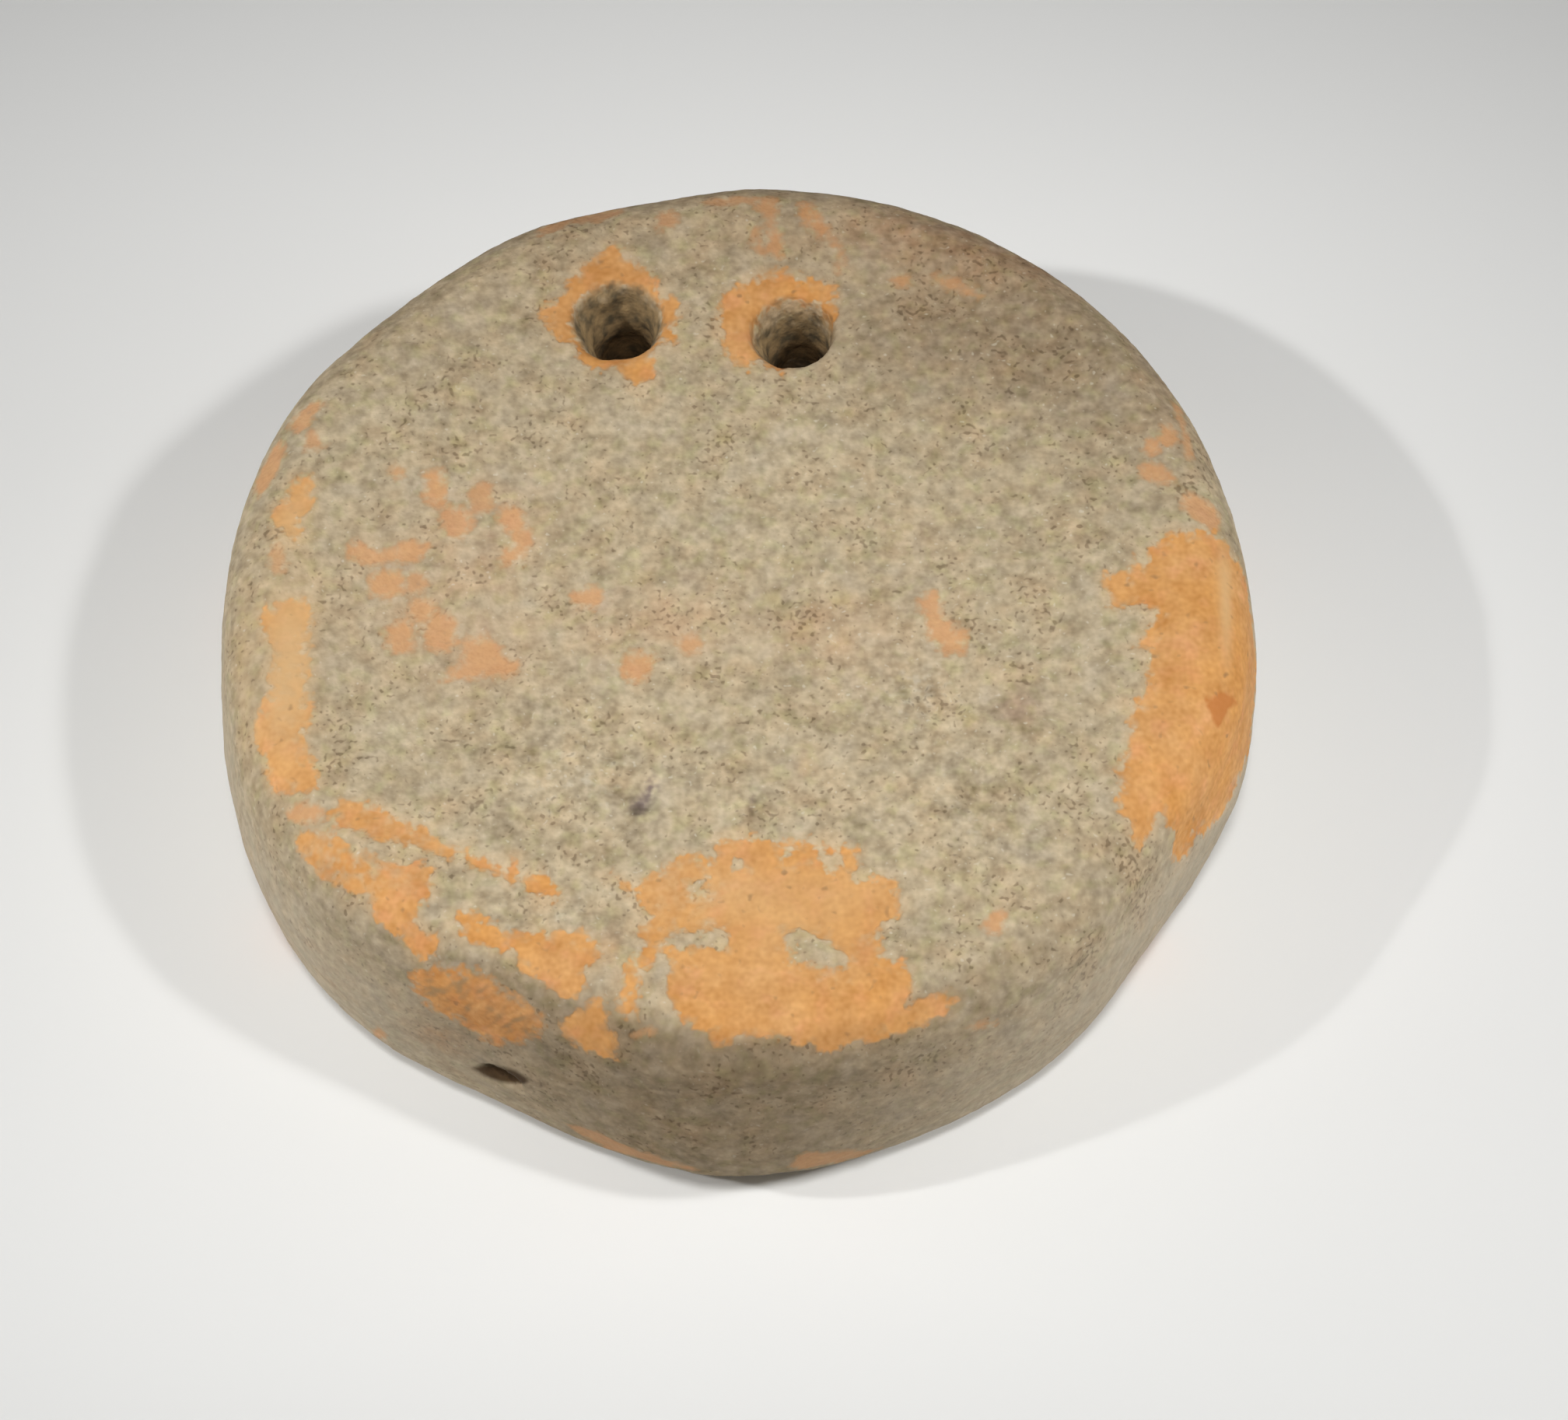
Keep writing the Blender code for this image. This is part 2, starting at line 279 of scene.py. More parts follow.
# Casts, which multiply the colour that they lie on
GREEN_CAST = (0.95, 1.0, 0.88)
PINK_CAST = (1.0, 0.92, 0.86)
GREY_CAST = (0.96, 0.99, 1.08)
ORANGE_CAST = (1.0, 0.91, 0.70)
ROSE_CAST = (1.0, 0.93, 1.05)
CLOUD_CAST = (0.63, 0.58, 0.55)
RUST_CAST = (0.78, 0.60, 0.52)
PLUM_CAST = (0.72, 0.60, 0.62)
INK_CAST = (0.52, 0.48, 0.60)
EARTH_CAST = (0.90, 0.70, 0.54)
SPECK_CAST = (0.50, 0.46, 0.43)
# Painted shade, darker towards the back
BACK_SHADE_CAST = (0.90, 0.86, 0.83)
# Painted shade on the side
SIDE_SHADE_CAST = (0.50, 0.46, 0.43)
# Painted shadow in the pit
PIT_SHADOW_CAST = (0.21, 0.155, 0.105)
# Painted shade deeper in the holes
HOLE_SHADE_CAST = (0.54, 0.46, 0.38)

# Noise of the material: its middle value, and the size, strength and detail of each layer
EVEN = (1.0,)
CRUST_GRAIN = (
    0.0, (0.42 * MM, 0.065, 0), (0.85 * MM, 0.12, 0), (1.7 * MM, 0.10, 0), (3.8 * MM, 0.06, 0),
)
CRUST_HUE = (0.0, (2.2 * MM, 0.55, 1), (5.0 * MM, 0.35, 0))
GREEN_PATCHES = (0.0, (1.6 * MM, 1.0, 1))
STAIN_MOTTLE = (0.75, (1.3 * MM, 0.35, 1))
HAZE_MOTTLE = (0.5, (2.4 * MM, 0.5, 1))
SIDE_MOTTLE = (1.0, (1.6 * MM, 0.25, 2))
DUST_AND_BOUNCE_MOTTLE = (0.7, (1.6 * MM, 0.3, 1))
BLOOM_MOTTLE = (0.0, (0.9 * MM, 0.35, 1))
HALO_MOTTLE = (0.0, (1.9 * MM, 0.6, 1))
SPECKS = (0.0, (0.45 * MM, 1.0, 0))
SPECK_CROWDS = (0.0, (5.0 * MM, 0.5, 0))
CLAY_GRAIN = (0.5, (0.5 * MM, 0.11, 0), (1.1 * MM, 0.14, 1), (2.8 * MM, 0.12, 0))
CLAY_BLUSH = (0.42, (2.0 * MM, 0.25, 1), (5.5 * MM, 0.4, 0))
CLAY_ROSE = (0.0, (2.2 * MM, 1.1, 2))
CLAY_PITS = (0.0, (0.8 * MM, 1.0, 0))
CHIP_FRAY = (0.0, (0.9 * MM, 0.15, 1))
STREAK_PATCHES = (0.0, (1.7 * MM, 0.8, 1))
EDGE_FRAY = (0.0, (1.8 * MM, 0.35, 2))
FILM_PATCHES = (0.0, (1.2 * MM, 1.0, 0))
VEIL_PATCHES = (0.0, (1.0 * MM, 1.0, 1))
GRIME_PATCHES = (0.0, (1.3 * MM, 1.0, 2))
CRUST_BUMPS = (0.9, (0.55 * MM, 0.35, 1), (1.2 * MM, 0.25, 0))
CLAY_BUMPS = (0.0, (0.8 * MM, 0.2, 0))
BUMP_DEPTH = 0.08 * MM

# Stains by attribute: tone, blend, strength and noise. The tints of the side, of the hole depths
# and towards the back are painted shade, and the pale tint low on the other sides is partly painted
# floor bounce
STAINS = {
    "cloud": (CLOUD_CAST, "MULTIPLY", 1.0, STAIN_MOTTLE),
    "rust": (RUST_CAST, "MULTIPLY", 1.0, STAIN_MOTTLE),
    "haze": (SPOT_CLAY, "MIX", 0.5, HAZE_MOTTLE),
    "plum": (PLUM_CAST, "MULTIPLY", 0.8, EVEN),
    "earth": (EARTH_CAST, "MULTIPLY", 1.0, STAIN_MOTTLE),
    "side": (SIDE_SHADE_CAST, "MULTIPLY", 1.0, SIDE_MOTTLE),
    "dust_and_bounce": (PALE_DUST_AND_BOUNCE, "MIX", 0.75, DUST_AND_BOUNCE_MOTTLE),
    "depth": (HOLE_SHADE_CAST, "MULTIPLY", 1.0, EVEN),
    "darkening": (BACK_SHADE_CAST, "MULTIPLY", 1.0, EVEN),
}

# Wear by attribute, and the painted shadow in the pit: how much fray its edge has, the distances
# inside its outline in millimetres between which it rises, and its strength
WEAR = {
    "spots": (0.7, -0.7, 0.5, 0.8),
    "faint": (0.7, -0.6, 0.6, 0.65),
    "streaked": (1.3, -0.8, 0.8, 0.95),
    "walls": (0.4, -0.4, 0.5, 1.0),
    "pit": (0.0, -0.25, 0.25, 1.0),
}

# Other marks: the two levels between which each of them rises, and its strength
BARE_RISE = (-0.45, 0.35, 1.0)
FILM_REACH = (0.0, 1.5, 1.0)
FILM_RISE = (-0.3, 0.9, 0.4)
VEIL_RISE = (-1.0, 1.0, 1.0)
BLOOM_RISE = (0.35, 1.2, 0.7)
HALO_RISE = (-1.6, 0.3, 0.14)
INK_RISE = (0.05, 1.0, 1.0)
DARK_SPECK_RISE = (0.7, 1.5, 0.8)
PALE_SPECK_RISE = (0.9, 1.6, 0.4)
CHIP_RISE = (-0.3, 0.3, 0.8)
CLAY_PIT_RISE = (0.85, 1.7, 0.7)
STREAK_RISE = (-0.5, 1.7, 0.95)
GRIME_RISE = (-1.0, 0.8, 1.0)
SHADE_RISE = (0.3, 1.0, 0.4)
SPOT_TONE_RISE = (0.0, 0.4, 0.5)
STREAK_TONE_RISE = (0.0, 0.4, 1.0)

# Streaks of the streaked patch: how their grain is turned and stretched, size, detail, share of
# the soil, and middle and share of the deeper tone
STREAK_TURN = (0.0, math.radians(-58.0), math.radians(-27.0))
STREAK_STRETCH = (3.5, 1.0, 1.0)
STREAK_SIZE = 0.9 * MM
STREAK_DETAIL = 1
STREAK_SOILING = 1.3
STREAK_DEPTHS = (0.25, 0.25)

# How much the grain is stronger under the bloom and weaker on the side, how much it frays the
# edges of the wear and breaks up the ink, and how much of the bloom comes from its ovals
BLOOM_CONTRAST = 0.5
SIDE_CONTRAST = 0.2
GRAIN_FRAY = 3.2
GRAIN_INK = 2.5
BLOOM_SHARE = 0.7

# Strength of the yellow on the crust and on the clay, and the surface's roughness on the crust
# and how much less it is on the clay
YELLOW_SHARES = (0.35, 0.8)
CRUST_ROUGHNESS = 0.95
CLAY_SMOOTHNESS = 0.12

# Painted shade on the weight's side. It sets in from a depth below the face: a little all round,
# most towards the front and a little left, less again low down, and not close round the holes.
SIDE_DEPTHS = (0.1 * MM, 2.2 * MM)
SIDE_LEAST = 0.15
SIDE_TOWARD = (-0.10, -0.995)
SIDE_NARROWNESS = 4
LOW_DEPTHS = (12.0 * MM, 24.0 * MM)
LOW_LOSS = 0.3
CLEAN_ROUND_HOLES = 2.0 * MM

# Paler tone low on the other sides, partly dust and partly painted floor bounce; painted shade from
# behind the middle to the far rim; and painted shade, darker deeper in the holes
DUST_AND_BOUNCE_DEPTHS = (2.0 * MM, 14.0 * MM)
BACK_SHADE_SPAN = (12.0 * MM, 50.0 * MM)
HOLE_DEPTHS = (4.0 * MM, 10.0 * MM)

# Swelling of the side at the middle of the front: how far it stands out, how far it reaches to
# the left and the right, the heights between which it rises and falls, and the distances in front
# of the disc's middle between which it sets in
SWELL_DEPTH = 1.5 * MM
SWELL_REACH = 13.0 * MM
SWELL_RISE = (5.5 * MM, 9.5 * MM)
SWELL_FALL = (9.5 * MM, 21.0 * MM)
SWELL_START = (WIDTH / 4, WIDTH / 3)

# How wear is drawn: how far outside an outline its distance is kept, the sectors in which the
# disc's width is taken, the points of an oval, the raggedness of edges with its two sizes, how
# far inside a faint patch the crust is gone, and the unevenness of the hidden wear with its size
REACH = 4.0 * MM
SECTORS = 180
OVAL_POINTS = 14
RAGGED_DEPTH = 0.28 * MM
RAGGED_SIZES = (2.2 * MM, 1.1 * MM)
FAINT_LAG = 0.4
HIDDEN_UNEVENNESS = 0.5
HIDDEN_SIZE = 5.0 * MM

# The mesh: how close its points are when they merge, and how often it is smoothed
MERGE_DISTANCE = 0.001 * MM
SMOOTHING_STEPS = 4

# Its relief: distances in millimetres inside the wear and inside the holes' walls between which
# each sets in, how much of the grit the clay lacks, and size of the lumps in the holes
CLAY_RISE = (-0.2, 0.3)
WALL_RISE = (-0.6, 0.4)
GRIT_LOSS = 0.8
WALL_LUMP_SIZE = 3.0 * MM

# Spot lamps: name, direction from the weight, radius, share of the floor's light, place on the
# floor that it is aimed at, and how far from there its light ends
SPOT_LAMPS = (
    ("main_lamp", (0.0, -0.35, 0.937), 0.085, 0.58, (38.0 * MM, -174.0 * MM), 302.0 * MM),
    ("right_lamp", (0.56, -0.20, 0.80), 0.075, 0.389, (77.0 * MM, 14.0 * MM), 185.0 * MM),
    ("left_lamp", (-0.683, -0.19, 0.704), 0.034, 0.376, (-79.0 * MM, 15.0 * MM), 150.0 * MM),
)
SPOT_DISTANCE = 1.5

# Ring of spot lamps, each straight above its place on the floor, for the floor farther off
RING_COUNT = 8
RING_RADIUS = 460.0 * MM
RING_REACH = 340.0 * MM
RING_SHARE = 0.39
RING_LAMP_RADIUS = 0.05

# Soft panels: name, direction from the weight, and share of the floor's light
PANELS = (
    ("left_panel", (-0.95, 0.0, 0.32), 0.055),
    ("right_panel", (0.95, 0.0, 0.32), 0.055),
)
PANEL_DISTANCE = 1.2
PANEL_SIDE = 0.6

# Light from all round
WORLD_STRENGTH = 0.05


def tone(red, green, blue):
    """Linear colour of one that is given as 8-bit screen values."""
    shares = [value / 255 for value in (red, green, blue)]
    return [share / 12.92 if share <= 0.04045 else ((share + 0.055) / 1.055) ** 2.4
            for share in shares]


class LoomWeightBody(bpy.types.PropertyGroup):
    """Mesh and relief of the clay body"""
    mesh_step: FloatProperty(
        name="Mesh step", description="Side of the fine mesh's faces",
        default=0.56 * MM, unit="LENGTH")
    lump_depth: FloatProperty(
        name="Lump depth", description="Height of the broad unevenness of moulded clay",
        default=0.45 * MM, unit="LENGTH")
    lump_size: FloatProperty(
        name="Lump size", description="Width of the broad unevenness",
        default=9.0 * MM, unit="LENGTH")
    grit_depth: FloatProperty(
        name="Grit depth", description="Height of the crust's grit",
        default=0.14 * MM, unit="LENGTH")
    grit_size: FloatProperty(
        name="Grit size", description="Width of the crust's grit",
        default=1.1 * MM, unit="LENGTH")
    crust_depth: FloatProperty(
        name="Crust depth", description="How far the crust stands above the bare clay",
        default=0.16 * MM, unit="LENGTH")
    hole_roughness: FloatProperty(
        name="Hole roughness", description="Height of the lumps in the walls of the holes",
        default=1.1 * MM, unit="LENGTH")


class LoomWeightFinish(bpy.types.PropertyGroup):
    """Colours of the crust, the clay and the stains"""
    crust_dark: FloatVectorProperty(
        name="Dark grains", description="Darkest grains of the crust",
        default=tone(124, 108, 82), subtype="COLOR")
    crust_light: FloatVectorProperty(
        name="Pale grains", description="Palest grains of the crust",
        default=tone(223, 204, 170), subtype="COLOR")
    clay_light: FloatVectorProperty(
        name="Light clay", description="Palest grain of the bare orange clay",
        default=tone(234, 181, 120), subtype="COLOR")
    clay_dark: FloatVectorProperty(
        name="Dark clay", description="Darkest grain of the bare orange clay",
        default=tone(184, 126, 66), subtype="COLOR")
    clay_deep: FloatVectorProperty(
        name="Deep clay", description="Deepest orange of the chipped clay",
        default=tone(192, 118, 58), subtype="COLOR")
    clay_yellow: FloatVectorProperty(
        name="Yellow clay", description="Yellower clay along the left rim",
        default=tone(217, 179, 128), subtype="COLOR")
    dirt: FloatVectorProperty(
        name="Dirt", description="Dirt in the walls of the holes",
        default=tone(170, 145, 105), subtype="COLOR")


class LoomWeightStage(bpy.types.PropertyGroup):
    """Floor and lights"""
    floor_side: FloatProperty(
        name="Floor side", description="Side of the square floor", default=6.0, unit="LENGTH")
    floor: FloatVectorProperty(
        name="Floor", description="Paper under the weight",
        default=tone(229, 229, 227), subtype="COLOR")
    light_level: FloatProperty(
        name="Light level", description="Light that a white floor sends back", default=0.97)


def deselect_all():
    """Leave nothing selected, as operators act on all that is."""
    for thing in bpy.context.selected_objects:
        thing.select_set(False)


def sight_line(x, y):
    """Direction from the camera through a pixel of the photograph."""
    across = (x - PHOTO_WIDTH / 2) * PIXEL
    down = (y - PHOTO_HEIGHT / 2) * PIXEL
    aim = CAMERA_RIGHT * across - CAMERA_UP * down - CAMERA_BACK * CAMERA_DISTANCE
    return aim.normalized()


def oval(x, y, half_width, half_height, turn=0.0):
    """Ring of pixels round an oval, which is turned anticlockwise by degrees."""
    ring = []
    turn = math.radians(turn)
    for step in range(OVAL_POINTS):
        angle = 2 * math.pi * step / OVAL_POINTS
        across = half_width * math.cos(angle)
        up = half_height * math.sin(angle)
        ring.append((x + across * math.cos(turn) - up * math.sin(turn),
                     y - across * math.sin(turn) - up * math.cos(turn)))
    return ring


def stripe(start, end, half_width):
    """Ring of pixels round a line, pointed at both ends."""
    start = Vector(start)
    end = Vector(end)
    along = (end - start).normalized() * half_width
    side = Vector((-along.y, along.x))
    return [tuple(corner) for corner in (
        start - along, start + side, end + side, end + along, end - side, start - side)]


def signed_distance(points, ring):
    """Distance of each point to a closed ring on the flat map, positive inside it."""
    nearest = np.full(len(points), np.inf)
    inside = np.zeros(len(points), bool)
    for start, end in zip(ring, np.roll(ring, -1, axis=0)):
        edge = end - start
        offset = points - start
        along = np.clip(offset @ edge / (edge @ edge), 0.0, 1.0)
        nearest = np.minimum(nearest, np.hypot(*(offset - along[:, None] * edge).T))
        if edge[1]:
            spans = (start[1] > points[:, 1]) != (end[1] > points[:, 1])
            crossing = start[0] + (points[:, 1] - start[1]) * edge[0] / edge[1]
            inside ^= spans & (points[:, 0] < crossing)
    return np.where(inside, nearest, -nearest)


def ease(values, low, high):
    """0 below low, 1 above high, and a smooth rise between them."""
    share = np.clip((values - low) / (high - low), 0.0, 1.0)
    return share * share * (3.0 - 2.0 * share)


class SurfaceMap:
    """The disc's surface unrolled flat. A place keeps its direction from the middle, and its
    distance is measured across the face, round the edge, down the side and in underneath."""

    def __init__(self, body):
        places = np.empty(len(body.data.vertices) * 3)
        body.data.vertices.foreach_get("co", places)
        self.places = places.reshape(-1, 3)
        self.tree = BVHTree.FromObject(body, bpy.context.evaluated_depsgraph_get())
        radius = np.hypot(self.places[:, 0], self.places[:, 1])
        direction = np.arctan2(self.places[:, 1], self.places[:, 0])
        sector = ((direction + math.pi) / (2 * math.pi) * SECTORS).astype(int) % SECTORS
        self.widest = np.zeros(SECTORS)
        np.maximum.at(self.widest, sector, radius)
        self.middles = (np.arange(SECTORS) + 0.5) / SECTORS * 2 * math.pi - math.pi
        self.flat = self.unroll(self.places)
        self.centre = self.pixel_of(Vector((0.0, 0.0, HIGH.z)))

    def unroll(self, places):
        """Places on the flat map of points on the surface. The walls of the holes are mapped
        straight up on to the face."""
        radius = np.hypot(places[:, 0], places[:, 1])
        direction = np.arctan2(places[:, 1], places[:, 0])
        widest = np.interp(direction, self.middles, self.widest, period=2 * math.pi)
        reach = np.where(places[:, 2] < HALF_HEIGHT, 2 * widest - radius, radius)
        reach = reach + HIGH.z - places[:, 2]
        for hole in HOLES:
            away = np.hypot(places[:, 0] - hole.x, places[:, 1] - hole.y)
            upper = (away < MOUTH_REACH) & (places[:, 2] > HALF_HEIGHT)
            reach = np.where(upper, radius, reach)
        return np.stack([reach * np.cos(direction), reach * np.sin(direction)], axis=1)

    def pixel_of(self, point):
        """Pixel of the photograph at which the camera sees a point."""
        sight = point - CAMERA_PLACE
        scale = CAMERA_DISTANCE / (-sight.dot(CAMERA_BACK) * PIXEL)
        return Vector((PHOTO_WIDTH / 2 + sight.dot(CAMERA_RIGHT) * scale,
                       PHOTO_HEIGHT / 2 - sight.dot(CAMERA_UP) * scale))

    def place(self, pixel):
        """Place on the flat map that a pixel shows. One outside the disc's outline is carried
        on round the edge by as much as it lies outside."""
        seen = Vector(pixel)
        inward = (self.centre - seen).normalized()
        hit = None
        while hit is None:
            hit = self.tree.ray_cast(CAMERA_PLACE, sight_line(*seen))[0]
            seen += inward
        beyond = ((seen - inward) - Vector(pixel)).length * PIXEL
        flat = self.unroll(np.array([hit]))[0]
        return flat * (1.0 + beyond / np.hypot(*flat))

    def inside(self, outline):
        """Distance of every vertex to an outline in pixels, positive inside and cut off at
        REACH outside."""
        ring = np.array([self.place(pixel) for pixel in outline])
        near = np.all((self.flat > ring.min(0) - REACH) & (self.flat < ring.max(0) + REACH), axis=1)
        distance = np.full(len(self.flat), -REACH)
        distance[near] = np.maximum(signed_distance(self.flat[near], ring), -REACH)
        return distance

    def seen_inside(self, outline):
        """Distance of every vertex to a small outline as the camera sees both, positive inside
        and cut off at REACH outside."""
        ring = np.array(outline, float)
        middle = self.tree.ray_cast(CAMERA_PLACE, sight_line(*ring.mean(0)))[0]
        near = np.linalg.norm(self.places - middle, axis=1) < 2 * REACH
        pixels = np.array([self.pixel_of(Vector(place)) for place in self.places[near]])
        distance = np.full(len(self.places), -REACH)
        distance[near] = np.maximum(signed_distance(pixels, ring) * PIXEL, -REACH)
        return distance

    def soft_oval(self, x, y, half_width, half_height, strength):
        """Strength of a soft oval tint at every vertex."""
        across, along = (self.flat - self.place((x, y))).T
        share = np.hypot(across / (half_width * PIXEL),
                         along / (half_height * PIXEL / math.sin(CAMERA_ELEVATION)))
        return strength * np.exp(-share ** 2)

    def ripple(self, size, shift=0.0):
        """Smooth noise at every vertex, from -1 to 1, with lumps of about a size."""
        start = Vector((shift, shift, shift))
        return np.array([noise.noise(Vector(place) / size + start) for place in self.places])


def hole_depths(surface):
    """Distance of every vertex inside the nearest hole's dirty wall, negative outside it."""
    height = surface.places[:, 2]
    up = np.maximum(height - (HIGH.z - MOUTH_DEPTH), LOW.z + MOUTH_DEPTH - height) / MOUTH_DEPTH
    offset = MOUTH_OFFSET * np.clip(up, 0.0, 1.0)
    depths = [radius - np.hypot(surface.places[:, 0] - hole.x + offset,
                                surface.places[:, 1] - hole.y)
              for hole, radius in zip(HOLES, DIRTY_RADII)]
    return np.maximum(*depths)


def inside_any(surface, outlines, ragged):
    """Distance of every vertex inside any of several outlines with ragged edges."""
    return np.max([surface.inside(outline) + ragged for outline in outlines], axis=0,
                  initial=-REACH)


def bare_clay(surface, walls, ragged):
    """Distance of every vertex inside the bare clay, negative on the crust."""
    crumbs = [oval(*crumb) for crumb in CRUST_CRUMBS]
    bare = inside_any(surface, CLAY_PATCHES, ragged)
    bare = np.minimum(bare, -inside_any(surface, (CRUST_ISLAND, *crumbs), ragged / 2))
    swell = HIDDEN_UNEVENNESS * surface.ripple(HIDDEN_SIZE, shift=3.0)
    for direction, radius, height, reach in HIDDEN_WEAR:
        turn = math.radians(direction)
        middle = (radius * WIDTH / 2 * math.cos(turn), radius * WIDTH / 2 * math.sin(turn),
                  LOW.z + height * THICKNESS)
        distance = np.linalg.norm(surface.places - middle, axis=1)
        bare = np.maximum(bare, reach * (1.0 + swell) - distance + ragged)
    return np.minimum(bare, -2.0 * walls)


def surface_fields(surface):
    """Every attribute of the surface, by name: distances in millimetres and tints from 0 to 1."""
    walls = hole_depths(surface)
    wide, narrow = RAGGED_SIZES
    ragged = RAGGED_DEPTH * (surface.ripple(wide) + surface.ripple(narrow, shift=7.0))
    spots = [oval(*spot) for spot in CLAY_SPOTS]
    spots = inside_any(surface, (*spots, FACE_SPOT, FACE_WEDGE, RIM_WEAR, RIM_WEAR_END), ragged)
    faint = np.maximum.reduce([
        inside_any(surface, [oval(*spot) for spot in FAINT_SPOTS], ragged / 2),
        inside_any(surface, [stripe(*line) for line in RUBBED_LINES], ragged / 4),
        inside_any(surface, (FRONT_EDGE_BAND, LEFT_EDGE_BAND), ragged)])
    fields = {
        "bare": bare_clay(surface, walls, ragged) / MM,
        "spots": spots / MM,
        "faint": faint / MM,
        "streaked": (surface.inside(STREAKED_PATCH) + ragged) / MM,
        "walls": walls / MM,
        # Painted shadow in the pit
        "pit": surface.seen_inside(PIT_SHADOW_OUTLINE) / MM,
        "chip": surface.inside(DEEP_CHIP) / MM,
    }
    for name, ovals in TINTS.items():
        fields[name] = np.clip(sum(surface.soft_oval(*each) for each in ovals), 0.0, 1.0)
    across, along, height = surface.places.T
    # Painted shade on the side, most towards the front
    toward = across * SIDE_TOWARD[0] + along * SIDE_TOWARD[1]
    frontal = np.clip(toward / np.maximum(np.hypot(across, along), MM), 0.0, 1.0)
    frontal = frontal ** SIDE_NARROWNESS
    below = HIGH.z - height
    side = (SIDE_LEAST + (1.0 - SIDE_LEAST) * frontal) * ease(below, *SIDE_DEPTHS)
    side *= 1.0 - ease(walls, -CLEAN_ROUND_HOLES, 0.0) - LOW_LOSS * ease(below, *LOW_DEPTHS)
    fields["side"] = side
    # Paler low on the sides away from the front: partly dust, partly painted floor bounce
    fields["dust_and_bounce"] = (1.0 - frontal) * ease(below, *DUST_AND_BOUNCE_DEPTHS)
    # Painted shade from behind the middle to the far rim
    fields["darkening"] = ease(along, *BACK_SHADE_SPAN)
    # Depth below the face, for painted shade deeper in the holes
    fields["depth"] = ease(below, *HOLE_DEPTHS)
    return fields


def fine_copy(mesh_step):
    """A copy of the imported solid, merged and remeshed into small even faces."""
    body = bpy.data.objects.new("weathered_clay", frame["nodes"]["loom_weight"].data.copy())
    bpy.context.collection.objects.link(body)
    deselect_all()
    body.select_set(True)
    bpy.context.view_layer.objects.active = body
    bpy.ops.object.mode_set(mode="EDIT")
    bpy.ops.mesh.select_all(action="SELECT")
    bpy.ops.mesh.remove_doubles(threshold=MERGE_DISTANCE)
    bpy.ops.object.mode_set(mode="OBJECT")
    modify(body, "REMESH", mode="VOXEL", voxel_size=mesh_step, use_smooth_shade=True)
    modify(body, "SMOOTH", factor=0.5, iterations=SMOOTHING_STEPS)
    swell_front(body)
    body.data.materials.clear()
    return body


def swell_front(body):
    """Let the side bulge a little at the middle of the front, so that it overhangs the floor."""
    places = np.empty(len(body.data.vertices) * 3)
    body.data.vertices.foreach_get("co", places)
    places = places.reshape(-1, 3)
    across, along, height = places.T
    bulge = np.exp(-(across / SWELL_REACH) ** 2) * (along < 0.0)
    bulge *= ease(height, *SWELL_RISE) * (1.0 - ease(height, *SWELL_FALL))
    places[:, 1] -= SWELL_DEPTH * bulge * ease(-along, *SWELL_START)
    body.data.vertices.foreach_set("co", places.ravel())
    body.data.update()


def modify(body, kind, **settings):
    """Add a modifier with its settings and apply it."""
    modifier = body.modifiers.new(kind.lower(), kind)
    for name, value in settings.items():
        setattr(modifier, name, value)
    bpy.ops.object.modifier_apply(modifier=modifier.name)


def cloud_texture(name, size, depth):
    """A cloudy texture for a Displace modifier, with lumps of about a size."""
    texture = bpy.data.textures.new(name, "CLOUDS")
    texture.noise_scale = size
    texture.noise_depth = depth
    return texture


def weight_group(body, name, weights):
    """A vertex group with one weight for every vertex."""
    group = body.vertex_groups.new(name=name)
    for index, weight in enumerate(weights.tolist()):
        if weight > 0.0:
            group.add((index,), weight, "REPLACE")


def raise_relief(body, fields, settings):
    """Lumps all over, grit on the crust, rough hole walls, and clay below the crust's level."""
    clay = np.maximum.reduce([fields["bare"], fields["spots"], fields["faint"] - FAINT_LAG])
    clay = ease(clay, *CLAY_RISE)
    weight_group(body, "clay", clay)
    weight_group(body, "crust", 1.0 - GRIT_LOSS * clay)
    weight_group(body, "walls", ease(fields["walls"], *WALL_RISE))
    modify(body, "DISPLACE", texture=cloud_texture("lumps", settings.lump_size, 1),
           texture_coords="LOCAL", strength=settings.lump_depth)
    modify(body, "DISPLACE", texture=cloud_texture("grit", settings.grit_size, 2),
           texture_coords="LOCAL", strength=settings.grit_depth, vertex_group="crust")
    modify(body, "DISPLACE", texture=cloud_texture("rough_walls", WALL_LUMP_SIZE, 2),
           texture_coords="LOCAL", strength=settings.hole_roughness, vertex_group="walls")
    modify(body, "DISPLACE", strength=-settings.crust_depth, mid_level=0.0, vertex_group="clay")
    body.vertex_groups.clear()
    for vertex in body.data.vertices:
        vertex.co.z = max(vertex.co.z, LOW.z)


def keep_fields(body, fields):
    """Store the fields as the mesh's own attributes, for its material to read."""
    for name, values in fields.items():
        attribute = body.data.attributes.new(name, "FLOAT", "POINT")
        attribute.data.foreach_set("value", values.astype(np.float32))


class Field:
    """A value that varies over a surface. Its operators add Math nodes."""

    def __init__(self, graph, socket):
        self.graph = graph
        self.socket = socket

    def worked(self, operation, first, second):
        return self.graph.node("ShaderNodeMath", {"operation": operation}, {0: first, 1: second})

    def __add__(self, other):
        return self.worked("ADD", self, other)

    def __radd__(self, other):
        return self.worked("ADD", other, self)

    def __sub__(self, other):
        return self.worked("SUBTRACT", self, other)

    def __rsub__(self, other):
        return self.worked("SUBTRACT", other, self)

    def __mul__(self, other):
        return self.worked("MULTIPLY", self, other)

    def __rmul__(self, other):
        return self.worked("MULTIPLY", other, self)

    def largest(self, other):
        return self.worked("MAXIMUM", self, other)


